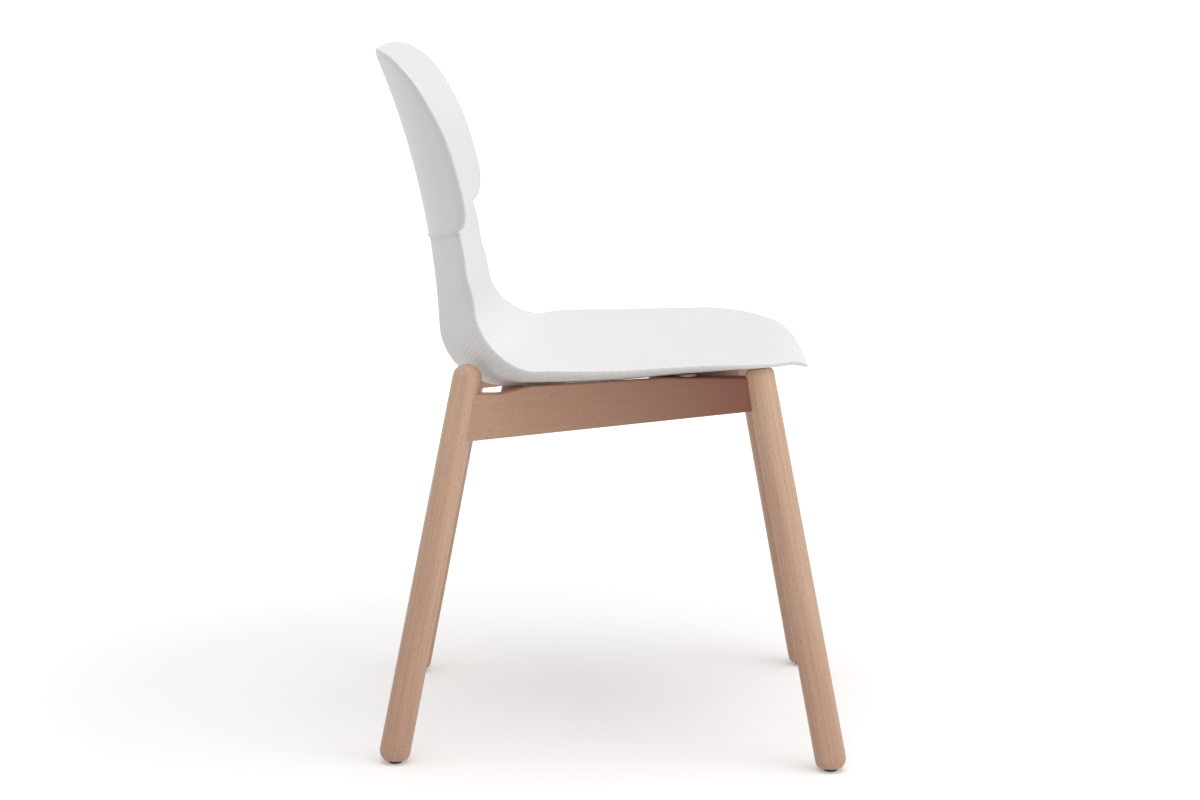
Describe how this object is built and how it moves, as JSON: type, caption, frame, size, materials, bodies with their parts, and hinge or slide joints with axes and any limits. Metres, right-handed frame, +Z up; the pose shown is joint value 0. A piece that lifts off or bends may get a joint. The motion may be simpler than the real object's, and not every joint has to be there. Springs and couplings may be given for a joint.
{
  "type": "dining chair",
  "caption": "Side chair with a one-piece moulded plastic shell seat, wrap-round back with a stepped upper part, and a beech frame with splayed round legs.",
  "frame": {"origin": "centre of the chair's bounding box at the floor", "axes": "+X the way the sitter faces, +Y to the sitter's left, +Z up"},
  "size_m": [0.5358, 0.474, 0.7993],
  "materials": {
    "shell_plastic": "matte moulded polypropylene, off-white",
    "beech_leg": "turned beech, satin lacquer",
    "beech_rail": "sawn and sanded beech, satin lacquer",
    "beech_dowel": "raw fluted dowel",
    "brass_insert": "machined",
    "steel_screw": "zinc plated",
    "steel_nail": "bright",
    "bumper_rubber": "matte grey-pink rubber",
    "glide_plastic": "black, slightly worn"
  },
  "bodies": {
    "root": {"seat_shell": "shell_plastic", "right_front_leg": "beech_leg", "left_front_leg": "beech_leg", "right_rear_leg": "beech_leg", "left_rear_leg": "beech_leg", "right_side_rail": "beech_rail", "left_side_rail": "beech_rail", "front_cross_rail": "beech_rail", "rear_cross_rail": "beech_rail", "leg_dowels": "beech_dowel", "cross_rail_dowels": "beech_dowel", "threaded_inserts": "brass_insert", "seat_screws": "steel_screw", "seat_washers": "steel_screw", "right_bumper": "bumper_rubber", "left_bumper": "bumper_rubber", "right_front_glide": "glide_plastic", "left_front_glide": "glide_plastic", "right_rear_glide": "glide_plastic", "left_rear_glide": "glide_plastic", "glide_nails": "steel_nail"}
  },
  "joints": []
}
